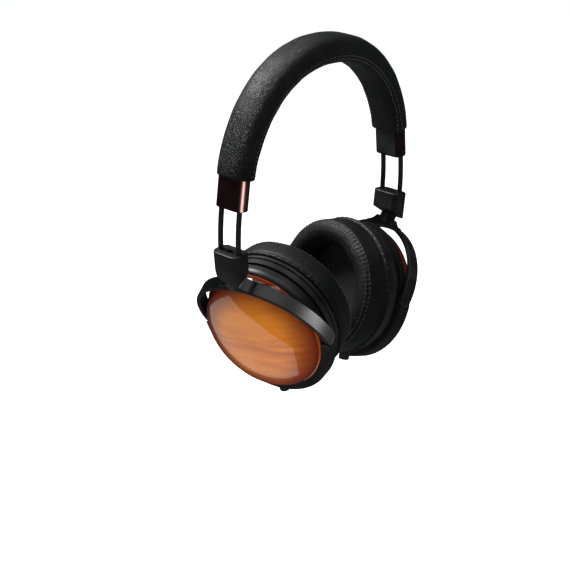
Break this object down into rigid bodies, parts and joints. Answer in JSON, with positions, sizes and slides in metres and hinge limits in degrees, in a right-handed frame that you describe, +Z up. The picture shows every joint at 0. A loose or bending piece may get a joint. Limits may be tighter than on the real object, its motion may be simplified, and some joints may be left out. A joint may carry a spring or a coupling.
{
  "type": "over ear headphones",
  "caption": "Over-ear headphones with an arched padded headband, sliding rods, swivelling yokes and round closed cups with domed wooden backs.",
  "frame": {"origin": "middle of the underside of the headband at its crown, where it rests on the head", "axes": "+Z up, -Y the wearer's front, +X the wearer's left ear"},
  "size_m": [0.1568, 0.0902, 0.2145],
  "materials": {
    "headband_leather": "fine grained soft leather",
    "pad_leather": "smooth soft leather",
    "foam": "open cell foam",
    "pad_cloth": "thin woven cloth",
    "spring_steel": "rolled",
    "steel": "turned",
    "bronze_cap": "glossy dark bronze",
    "black_rod": "satin black",
    "yoke_black": "satin black",
    "satin_black": "satin black",
    "black_plastic": "fine textured",
    "guide_plastic": "natural",
    "lacquered_wood": "glossy lacquer over figured maple, darker at the rim",
    "black_screws": "black oxide",
    "jack_plastic": "moulded",
    "wire_cover": "pvc",
    "basket_plastic": "moulded",
    "magnet": "nickel plated",
    "film": "thin film",
    "grille": "punched"
  },
  "bodies": {
    "headband": {"end_cap_cover_left": "black_plastic", "end_cap_cover_right": "black_plastic", "end_cap_left": "bronze_cap", "end_cap_right": "bronze_cap", "grip_leaf_left": "spring_steel", "grip_leaf_right": "spring_steel", "headband_leather": "headband_leather", "headband_padding_lower": "foam", "headband_padding_upper": "foam", "headband_spring_strip": "spring_steel", "slide_guide_left": "guide_plastic", "slide_guide_right": "guide_plastic", "strip_rivets": "steel"},
    "slider_left": {"slide_rod_front_left": "black_rod", "slide_rod_rear_left": "black_rod", "rod_stops_left": "steel", "slider_block_left": "satin_black", "slider_cover_left": "black_plastic"},
    "yoke_left": {"yoke_left": "yoke_black", "swivel_pin_left": "steel", "swivel_clip_left": "spring_steel"},
    "cup_left": {"baffle_left": "satin_black", "baffle_screws_left": "black_screws", "cup_shell_left": "satin_black", "driver_basket_left": "basket_plastic", "driver_diaphragm_left": "film", "driver_grille_left": "grille", "driver_magnet_left": "magnet", "driver_wires_left": "wire_cover", "ear_pad_cloth_left": "pad_cloth", "ear_pad_foam_left": "foam", "ear_pad_leather_left": "pad_leather", "ear_pad_plate_left": "black_plastic", "jack_socket_left": "jack_plastic", "pivot_pins_left": "steel", "wood_cup_left": "lacquered_wood"},
    "slider_right": {"slide_rod_front_right": "black_rod", "slide_rod_rear_right": "black_rod", "rod_stops_right": "steel", "slider_block_right": "satin_black", "slider_cover_right": "black_plastic"},
    "yoke_right": {"yoke_right": "yoke_black", "swivel_pin_right": "steel", "swivel_clip_right": "spring_steel"},
    "cup_right": {"baffle_right": "satin_black", "baffle_screws_right": "black_screws", "cup_shell_right": "satin_black", "driver_basket_right": "basket_plastic", "driver_diaphragm_right": "film", "driver_grille_right": "grille", "driver_magnet_right": "magnet", "driver_wires_right": "wire_cover", "ear_pad_cloth_right": "pad_cloth", "ear_pad_foam_right": "foam", "ear_pad_leather_right": "pad_leather", "ear_pad_plate_right": "black_plastic", "jack_socket_right": "jack_plastic", "pivot_pins_right": "steel", "wood_cup_right": "lacquered_wood"}
  },
  "joints": [
    {"name": "slide_left", "type": "hinge", "parent": "headband", "child": "slider_left", "pos_m": [-0.0768, 0, -0.0875], "axis": [0, -1, 0], "range_deg": [0, 8.4]},
    {"name": "swivel_left", "type": "hinge", "parent": "slider_left", "child": "yoke_left", "pos_m": [0.0412, 0, -0.1509], "axis": [0.6088, 0, 0.7934], "range_deg": [-2, 21]},
    {"name": "tilt_left", "type": "hinge", "parent": "yoke_left", "child": "cup_left", "pos_m": [0.0412, 0, -0.1509], "axis": [-0.1309, -0.9863, 0.1005], "range_deg": [0, 26]},
    {"name": "slide_right", "type": "hinge", "parent": "headband", "child": "slider_right", "pos_m": [0.0768, 0, -0.0875], "axis": [0, 1, 0], "range_deg": [0, 8.4]},
    {"name": "swivel_right", "type": "hinge", "parent": "slider_right", "child": "yoke_right", "pos_m": [-0.0412, 0, -0.1509], "axis": [0.6088, 0, -0.7934], "range_deg": [-2, 21]},
    {"name": "tilt_right", "type": "hinge", "parent": "yoke_right", "child": "cup_right", "pos_m": [-0.0412, 0, -0.1509], "axis": [-0.1309, 0.9863, -0.1005], "range_deg": [0, 26]}
  ]
}
